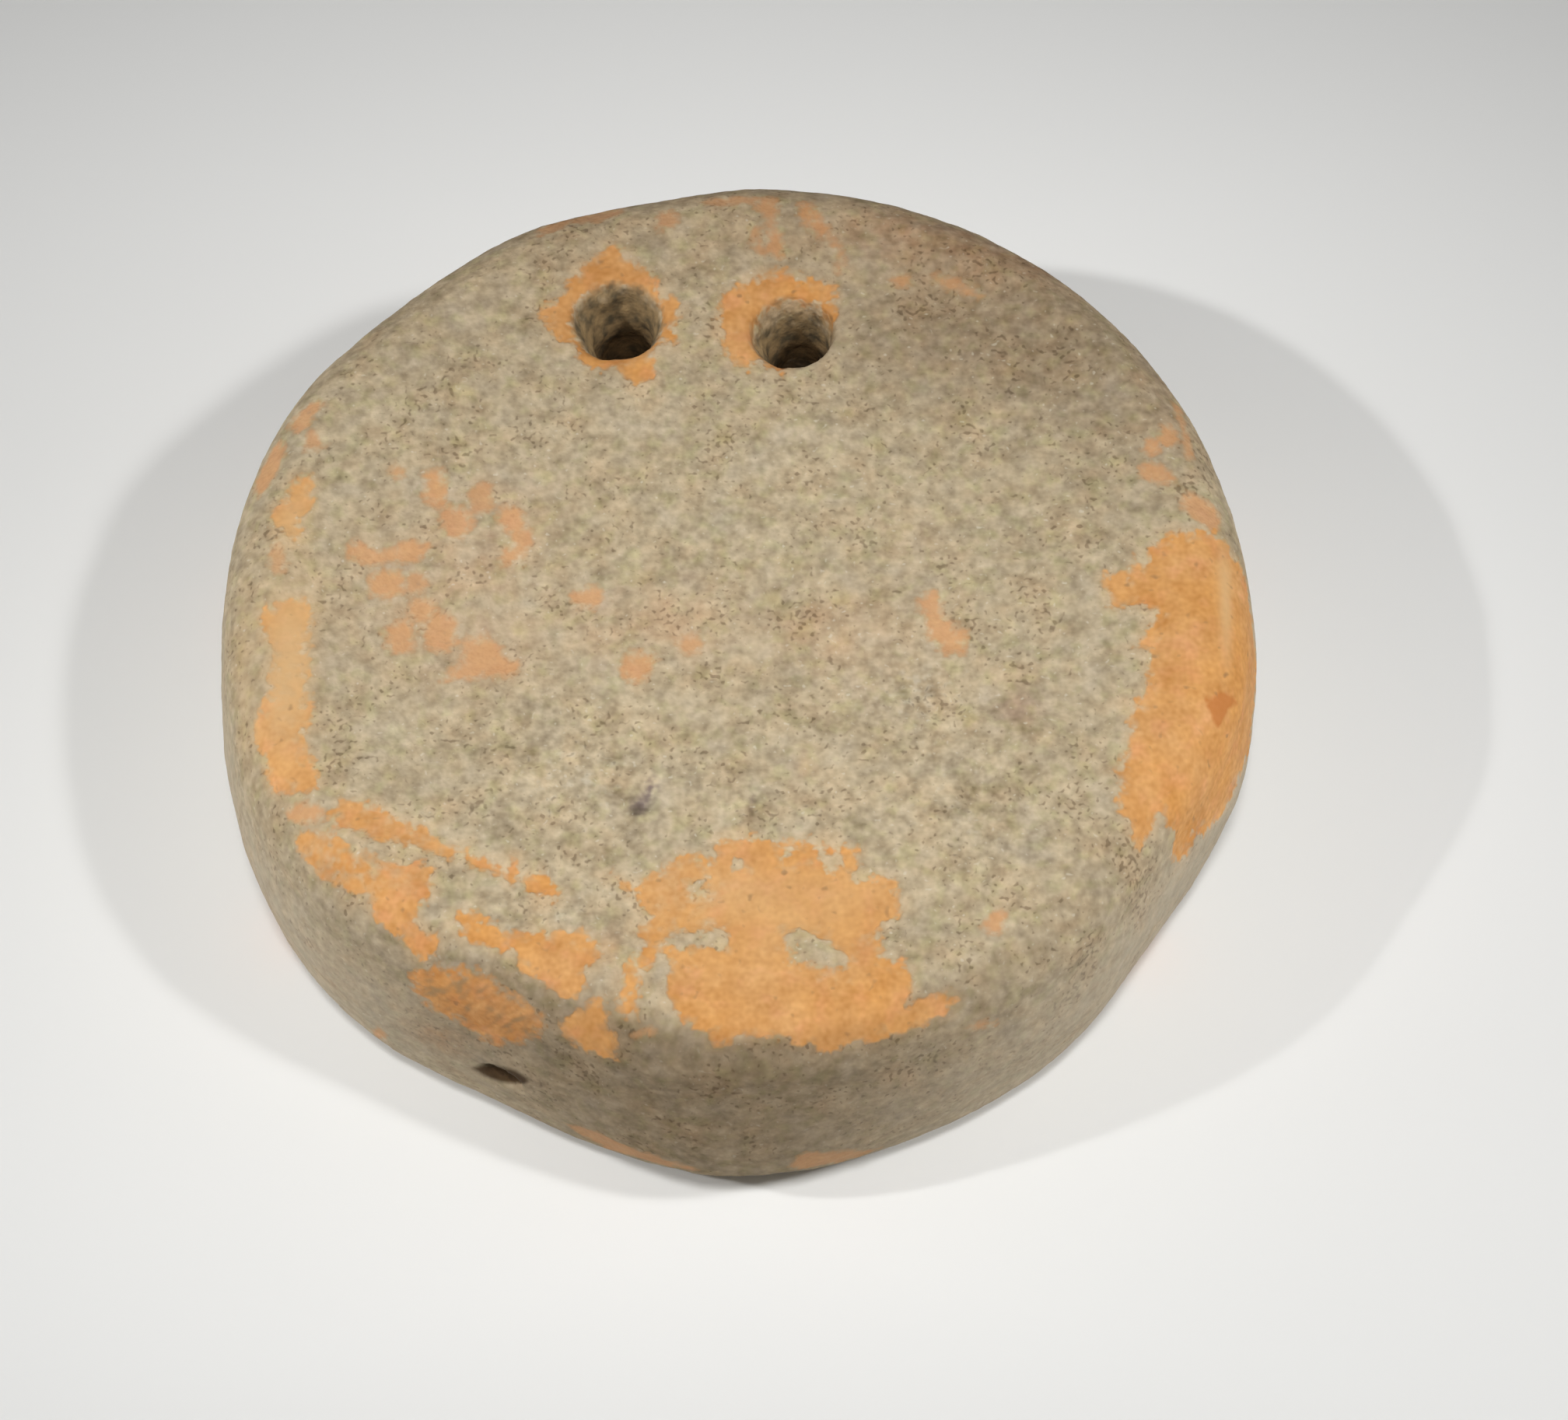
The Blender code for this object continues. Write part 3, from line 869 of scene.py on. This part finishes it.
class Graph:
    """The nodes of one material."""

    def __init__(self, name):
        self.material = bpy.data.materials.new(name)
        self.material.use_nodes = True
        self.tree = self.material.node_tree
        self.shader = self.tree.nodes["Principled BSDF"]
        self.place = self.node("ShaderNodeTexCoord", output="Object")

    def node(self, kind, settings=None, values=None, output=0):
        """Add a node: its settings first, then the values or links of its sockets."""
        node = self.tree.nodes.new(kind)
        for name, setting in (settings or {}).items():
            setattr(node, name, setting)
        for socket, value in (values or {}).items():
            self.feed(node.inputs[socket], value)
        return Field(self, node.outputs[output])

    def feed(self, target, value):
        """Link a field to a socket, or set the socket's own value."""
        if isinstance(value, Field):
            self.tree.links.new(value.socket, target)
        else:
            target.default_value = value

    def finish(self, **values):
        """Feed the shader's sockets, named with underscores for spaces."""
        for name, value in values.items():
            self.feed(self.shader.inputs[name.replace("_", " ")], value)
        return self.material

    def stored(self, name):
        """An attribute of the mesh."""
        return self.node("ShaderNodeAttribute", {"attribute_name": name}, output="Fac")

    def ripple(self, size, detail, place=None):
        """Smooth noise about zero, mostly between -1 and 1, with lumps of about a size."""
        cloud = self.node("ShaderNodeTexNoise", values={
            "Vector": place or self.place, "Scale": 1.0 / size, "Detail": detail})
        return (cloud - 0.5) * 4.0

    def uneven(self, middle, *layers):
        """Noise about a middle value, in layers that each have a size, a strength and a detail."""
        return sum((self.ripple(size, detail) * strength for size, strength, detail in layers),
                   middle)

    def rise(self, value, low, high, most):
        """0 where a value is at low, most where it is at high, and a smooth rise between them."""
        return self.node("ShaderNodeMapRange", {"interpolation_type": "SMOOTHSTEP"}, {
            "Value": value, "From Min": low, "From Max": high, "To Min": 0.0, "To Max": most})

    def mix(self, factor, first, second, blend="MIX"):
        """Blend two colours by a factor."""
        colours = [value if isinstance(value, Field) else (*value, 1.0)
                   for value in (first, second)]
        return self.node("ShaderNodeMix", {"data_type": "RGBA", "blend_type": blend}, {
            0: factor, 6: colours[0], 7: colours[1]}, output=2)

    def bump(self, height, distance):
        """Normal of a surface raised by a height times a distance."""
        return self.node("ShaderNodeBump", values={"Height": height, "Distance": distance},
                         output="Normal")


def grain_of(graph):
    """How pale the crust's grain is at a place, about one half and stronger under the bloom."""
    grain = graph.uneven(*CRUST_GRAIN) * (1.0 + graph.stored("lime") * BLOOM_CONTRAST)
    return 0.5 + grain * (1.0 - graph.stored("side") * SIDE_CONTRAST)


def crust_colour(graph, finish, grain):
    """Grainy grey crust, with greyer, pinker and greener areas."""
    grains = graph.mix(grain, finish.crust_dark, finish.crust_light)
    hue = graph.uneven(*CRUST_HUE)
    grains = graph.mix(hue, grains, PINK_CAST, "MULTIPLY")
    grains = graph.mix(0.0 - hue, grains, GREY_CAST, "MULTIPLY")
    return graph.mix(graph.uneven(*GREEN_PATCHES), grains, GREEN_CAST, "MULTIPLY")


def stain(graph, name, colour):
    """A colour with one of the stains on it; some of the stains are painted shade, and one is
    partly painted floor bounce.
    """
    tint, blend, strength, mottle = STAINS[name]
    shown = graph.stored(name) * graph.uneven(*mottle) * strength
    return graph.mix(shown, colour, tint, blend)


def stained_crust(graph, finish, grain):
    """The crust with its broad stains, its pale bloom and its small marks, with painted shade on
    the side and pale dust with painted floor bounce low on the other sides.
    """
    crust = stain(graph, "rust", stain(graph, "cloud", crust_colour(graph, finish, grain)))
    bloom = graph.stored("lime") * BLOOM_SHARE + graph.uneven(*BLOOM_MOTTLE)
    crust = graph.mix(graph.rise(bloom, *BLOOM_RISE), crust, BLOOM)
    halo = graph.stored("bare") + graph.uneven(*HALO_MOTTLE)
    crust = graph.mix(graph.rise(halo, *HALO_RISE), crust, finish.clay_light)
    crust = stain(graph, "haze", crust)
    crust = graph.mix(graph.stored("yellow") * YELLOW_SHARES[0], crust, finish.clay_yellow)
    crust = stain(graph, "plum", crust)
    ink = graph.rise(graph.stored("ink") * (1.0 + (0.5 - grain) * GRAIN_INK), *INK_RISE)
    crust = graph.mix(ink, crust, INK_CAST, "MULTIPLY")
    crust = stain(graph, "earth", crust)
    specks = graph.uneven(*SPECKS)
    dark = graph.rise(specks + graph.uneven(*SPECK_CROWDS), *DARK_SPECK_RISE)
    crust = graph.mix(dark, crust, SPECK_CAST, "MULTIPLY")
    crust = graph.mix(graph.rise(0.0 - specks, *PALE_SPECK_RISE), crust, BLOOM)
    return stain(graph, "dust_and_bounce", stain(graph, "side", crust))


def clay_colour(graph, finish):
    """Orange clay with a fine grain, small pits, and deeper, pinker and yellower areas."""
    clay = graph.mix(graph.uneven(*CLAY_GRAIN), finish.clay_dark, finish.clay_light)
    clay = graph.mix(graph.uneven(*CLAY_BLUSH), clay, ORANGE_CAST, "MULTIPLY")
    clay = graph.mix(graph.uneven(*CLAY_ROSE), clay, ROSE_CAST, "MULTIPLY")
    clay = graph.mix(graph.stored("yellow") * YELLOW_SHARES[1], clay, finish.clay_yellow)
    chip = graph.rise(graph.stored("chip") + graph.uneven(*CHIP_FRAY), *CHIP_RISE)
    clay = graph.mix(chip, clay, finish.clay_deep)
    return graph.mix(graph.rise(graph.uneven(*CLAY_PITS), *CLAY_PIT_RISE), clay, PIT_CLAY)


def streaked_clay(graph, finish, clay):
    """The clay as if brushed: fine streaks of a deeper tone and of dirt."""
    combed = graph.node("ShaderNodeMapping", {"vector_type": "TEXTURE"}, {
        "Vector": graph.place, "Rotation": STREAK_TURN, "Scale": STREAK_STRETCH})
    streaks = graph.ripple(STREAK_SIZE, STREAK_DETAIL, place=combed)
    middle, share = STREAK_DEPTHS
    brushed = graph.mix(middle + streaks * share, clay, finish.clay_deep)
    darkening = streaks * STREAK_SOILING + graph.uneven(*STREAK_PATCHES)
    return graph.mix(graph.rise(darkening, *STREAK_RISE), brushed, STREAK_SOIL)


def worn(graph, name, fray):
    """How much of one kind of wear shows."""
    share, low, high, strength = WEAR[name]
    return graph.rise(graph.stored(name) + fray * share, low, high, strength)


def clay_finish(finish):
    """Material of the whole disc: crust, bare clay, dirty hole walls and stains, with painted shade
    on the side, towards the back, in the pit and deeper in the holes.
    """
    graph = Graph("fired_clay_weathered")
    grain = grain_of(graph)
    fray = graph.uneven(*EDGE_FRAY) + (0.5 - grain) * GRAIN_FRAY
    edge = graph.stored("bare") + fray
    film = graph.rise(graph.uneven(*FILM_PATCHES), *FILM_RISE)
    film = (1.0 - graph.rise(edge, *FILM_REACH)) * film
    film = film + graph.stored("veil") * graph.rise(graph.uneven(*VEIL_PATCHES), *VEIL_RISE)
    bare = graph.rise(edge, *BARE_RISE) * (1.0 - film)
    spots = worn(graph, "spots", fray).largest(worn(graph, "faint", fray))
    streaked = worn(graph, "streaked", fray)
    clay = clay_colour(graph, finish)
    clay = graph.mix(graph.rise(spots - bare, *SPOT_TONE_RISE), clay, SPOT_CLAY)
    streaks = graph.rise(streaked - bare, *STREAK_TONE_RISE)
    clay = graph.mix(streaks, clay, streaked_clay(graph, finish, clay))
    shown = bare.largest(spots).largest(streaked)
    surface = graph.mix(shown, stained_crust(graph, finish, grain), clay)
    wall_tone = graph.rise(graph.uneven(*GRIME_PATCHES), *GRIME_RISE)
    # Dirt of the hole walls, with painted shade darker deeper in the holes
    wall_tone = stain(graph, "depth", graph.mix(wall_tone, DARK_DIRT, finish.dirt))
    surface = graph.mix(worn(graph, "walls", fray), surface, wall_tone)
    # Painted shade on the bare clay of the side
    shade = graph.rise(graph.stored("side"), *SHADE_RISE) * shown
    surface = graph.mix(shade, surface, SIDE_SHADE_CAST, "MULTIPLY")
    # Painted shade, darker towards the back
    surface = stain(graph, "darkening", surface)
    # Painted shadow inside the pit
    surface = graph.mix(worn(graph, "pit", fray), surface, PIT_SHADOW_CAST, "MULTIPLY")
    height = (1.0 - bare) * graph.uneven(*CRUST_BUMPS) + bare * graph.uneven(*CLAY_BUMPS)
    return graph.finish(
        Base_Color=surface, Roughness=CRUST_ROUGHNESS - bare * CLAY_SMOOTHNESS,
        Specular_IOR_Level=0.25, Normal=graph.bump(height, BUMP_DEPTH))


def floor_finish(stage):
    """Material of the floor: plain paper."""
    return Graph("pale_paper").finish(
        Base_Color=(*stage.floor, 1.0), Roughness=0.9, Specular_IOR_Level=0.1)


def add_floor(stage):
    """A flat sheet of paper under the weight."""
    deselect_all()
    bpy.ops.mesh.primitive_plane_add(size=stage.floor_side, location=(0.0, 0.0, LOW.z))
    floor = bpy.context.object
    bpy.ops.object.transform_apply(location=True, rotation=False, scale=False)
    floor.name = "studio_floor"
    floor.data.materials.append(floor_finish(stage))


def add_lamp(kind, name, toward, distance, aim):
    """A lamp in a direction from the weight, aimed at a point, with the energy in watts that a
    flat lamp needs there to light a white floor fully."""
    toward = Vector(toward).normalized()
    place = toward * distance
    bpy.ops.object.light_add(type=kind, location=place)
    lamp = bpy.context.object
    lamp.name = name
    lamp.rotation_euler = (place - aim).to_track_quat("Z", "Y").to_euler()
    lamp.data.energy = math.pi ** 2 * distance ** 2 / toward.z
    return lamp.data


def ring_lamps():
    """Every lamp of the ring, described as the other spot lamps are."""
    slope = RING_RADIUS / math.sqrt(SPOT_DISTANCE ** 2 - RING_RADIUS ** 2)
    for number in range(RING_COUNT):
        turn = 2 * math.pi * number / RING_COUNT
        across = math.cos(turn)
        along = math.sin(turn)
        yield (f"ring_lamp_{number}", (across * slope, along * slope, 1.0), RING_LAMP_RADIUS,
               RING_SHARE, (across * RING_RADIUS, along * RING_RADIUS), RING_REACH)


def add_spot(name, toward, radius, share, aim, reach, level):
    """A round lamp whose light fades evenly to nothing at its reach. A spot sends out light as a
    ball does, so it needs four times the energy of a flat lamp."""
    aim = Vector((*aim, LOW.z))
    lamp = add_lamp("SPOT", name, toward, SPOT_DISTANCE, aim)
    lamp.energy *= 4.0 * share * level
    lamp.shadow_soft_size = radius
    lamp.spot_size = 2 * math.atan(reach / SPOT_DISTANCE)
    lamp.spot_blend = 1.0


def add_panel(name, toward, share, level):
    """A square soft panel."""
    lamp = add_lamp("AREA", name, toward, PANEL_DISTANCE, Vector())
    lamp.energy *= share * level
    lamp.size = PANEL_SIDE


def add_camera():
    """The photograph's camera."""
    bpy.ops.object.camera_add(location=CAMERA_PLACE,
                              rotation=(math.pi / 2 - CAMERA_ELEVATION, 0.0, 0.0))
    camera = bpy.context.object
    camera.data.sensor_width = SENSOR_WIDTH
    camera.data.lens = SENSOR_WIDTH * CAMERA_DISTANCE / VIEW_WIDTH
    bpy.context.scene.camera = camera


def set_world():
    """Dim even light from all round, and plain colours."""
    scene = bpy.context.scene
    scene.world = bpy.data.worlds.new("studio")
    scene.world.use_nodes = True
    background = scene.world.node_tree.nodes["Background"]
    background.inputs["Color"].default_value = (1.0, 1.0, 1.0, 1.0)
    background.inputs["Strength"].default_value = WORLD_STRENGTH
    scene.view_settings.view_transform = "Standard"


class LOOMWEIGHT_OT_body(bpy.types.Operator):
    """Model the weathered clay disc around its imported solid"""
    bl_idname = "loomweight.body"
    bl_label = "Weathered Clay"

    def execute(self, context):
        settings = context.scene.loom_weight_body
        body = fine_copy(settings.mesh_step)
        fields = surface_fields(SurfaceMap(body))
        raise_relief(body, fields, settings)
        keep_fields(body, fields)
        body.data.materials.append(clay_finish(context.scene.loom_weight_finish))
        body.data.shade_smooth()
        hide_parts("loom_weight")
        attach(body, "root")
        return {"FINISHED"}


class LOOMWEIGHT_OT_stage(bpy.types.Operator):
    """Set up the floor, the lamps and the camera"""
    bl_idname = "loomweight.stage"
    bl_label = "Studio Stage"

    def execute(self, context):
        stage = context.scene.loom_weight_stage
        add_floor(stage)
        for spot in (*SPOT_LAMPS, *ring_lamps()):
            add_spot(*spot, stage.light_level)
        for panel in PANELS:
            add_panel(*panel, stage.light_level)
        set_world()
        add_camera()
        return {"FINISHED"}


class LOOMWEIGHT_PT_panel(bpy.types.Panel):
    """Settings and steps of the loom weight"""
    bl_label = "Loom Weight"
    bl_space_type = "VIEW_3D"
    bl_region_type = "UI"
    bl_category = "Loom Weight"

    def draw(self, context):
        for group_name in SETTINGS:
            group = getattr(context.scene, group_name)
            box = self.layout.box()
            for setting in group.__annotations__:
                box.prop(group, setting)
        for step in STEPS:
            self.layout.operator(step.bl_idname)


STEPS = (LOOMWEIGHT_OT_body, LOOMWEIGHT_OT_stage)
SETTINGS = {
    "loom_weight_body": LoomWeightBody,
    "loom_weight_finish": LoomWeightFinish,
    "loom_weight_stage": LoomWeightStage,
}
CLASSES = (*SETTINGS.values(), *STEPS, LOOMWEIGHT_PT_panel)


def register():
    for each in CLASSES:
        bpy.utils.register_class(each)
    for name, group in SETTINGS.items():
        setattr(bpy.types.Scene, name, PointerProperty(type=group))


def unregister():
    for name in SETTINGS:
        delattr(bpy.types.Scene, name)
    for each in reversed(CLASSES):
        bpy.utils.unregister_class(each)


def main():
    """Build everything in order."""
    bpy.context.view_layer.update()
    register()
    bpy.ops.loomweight.body()
    bpy.ops.loomweight.stage()


if __name__ == "__main__":
    main()
